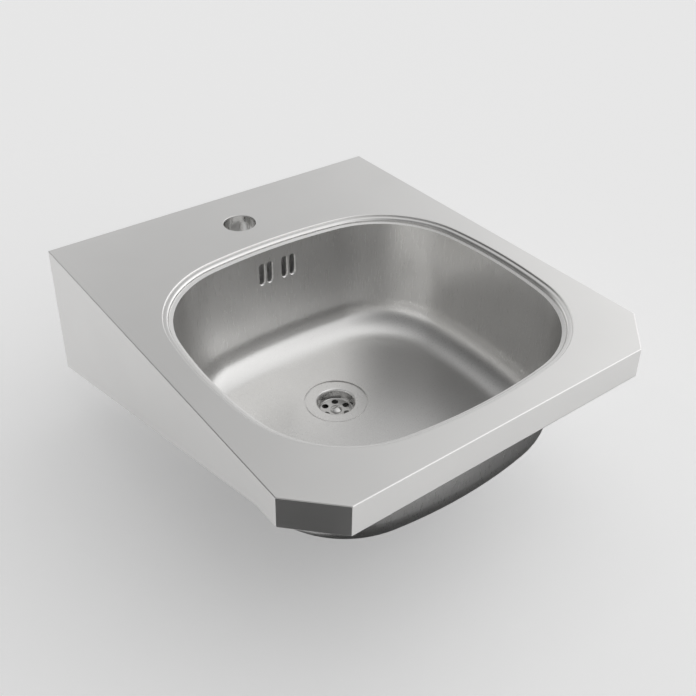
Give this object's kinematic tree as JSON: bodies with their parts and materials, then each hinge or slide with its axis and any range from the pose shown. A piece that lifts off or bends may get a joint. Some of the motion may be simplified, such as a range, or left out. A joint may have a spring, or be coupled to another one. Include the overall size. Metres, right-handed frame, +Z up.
{
  "type": "hand wash sink",
  "caption": "Wall-hung stainless steel hand wash sink: folded deck on tapered side panels, drawn bowl with overflow slots, tap hole and strainer waste.",
  "frame": {"origin": "middle of the rear top edge of the deck, on the wall face, with the deck's top surface at Z = 0", "axes": "+X to the right of a person who stands at the sink, +Y from that person into the wall, +Z up"},
  "size_m": [0.4, 0.464, 0.213],
  "materials": {
    "deck_steel": "satin stainless sheet, fine brushed grain across the deck",
    "bowl_steel": "satin drawn stainless sheet",
    "strainer_steel": "bright stainless pressing",
    "screw_steel": "polished stainless",
    "plain_steel": "mill finish stainless",
    "zinc_steel": "bright zinc plate",
    "waste_plastic": "white moulded polypropylene",
    "pipe_plastic": "white extruded plastic",
    "seal_rubber": "black rubber",
    "insert_brass": "turned brass"
  },
  "bodies": {
    "root": {"deck_shell": "deck_steel", "bowl": "bowl_steel", "tap_plate": "plain_steel", "tap_sleeve": "deck_steel", "wall_angle_left": "plain_steel", "wall_angle_right": "plain_steel", "overflow_gasket": "seal_rubber", "overflow_box": "plain_steel", "overflow_studs": "screw_steel", "overflow_washers": "zinc_steel", "overflow_nuts": "zinc_steel", "overflow_pipe": "pipe_plastic", "overflow_ring_upper": "seal_rubber", "overflow_ring_lower": "seal_rubber", "overflow_nut_upper": "waste_plastic", "overflow_nut_lower": "waste_plastic", "strainer": "strainer_steel", "strainer_screw": "screw_steel", "strainer_seal": "seal_rubber", "waste_gasket": "seal_rubber", "waste_body": "waste_plastic", "waste_insert": "insert_brass"}
  },
  "joints": []
}
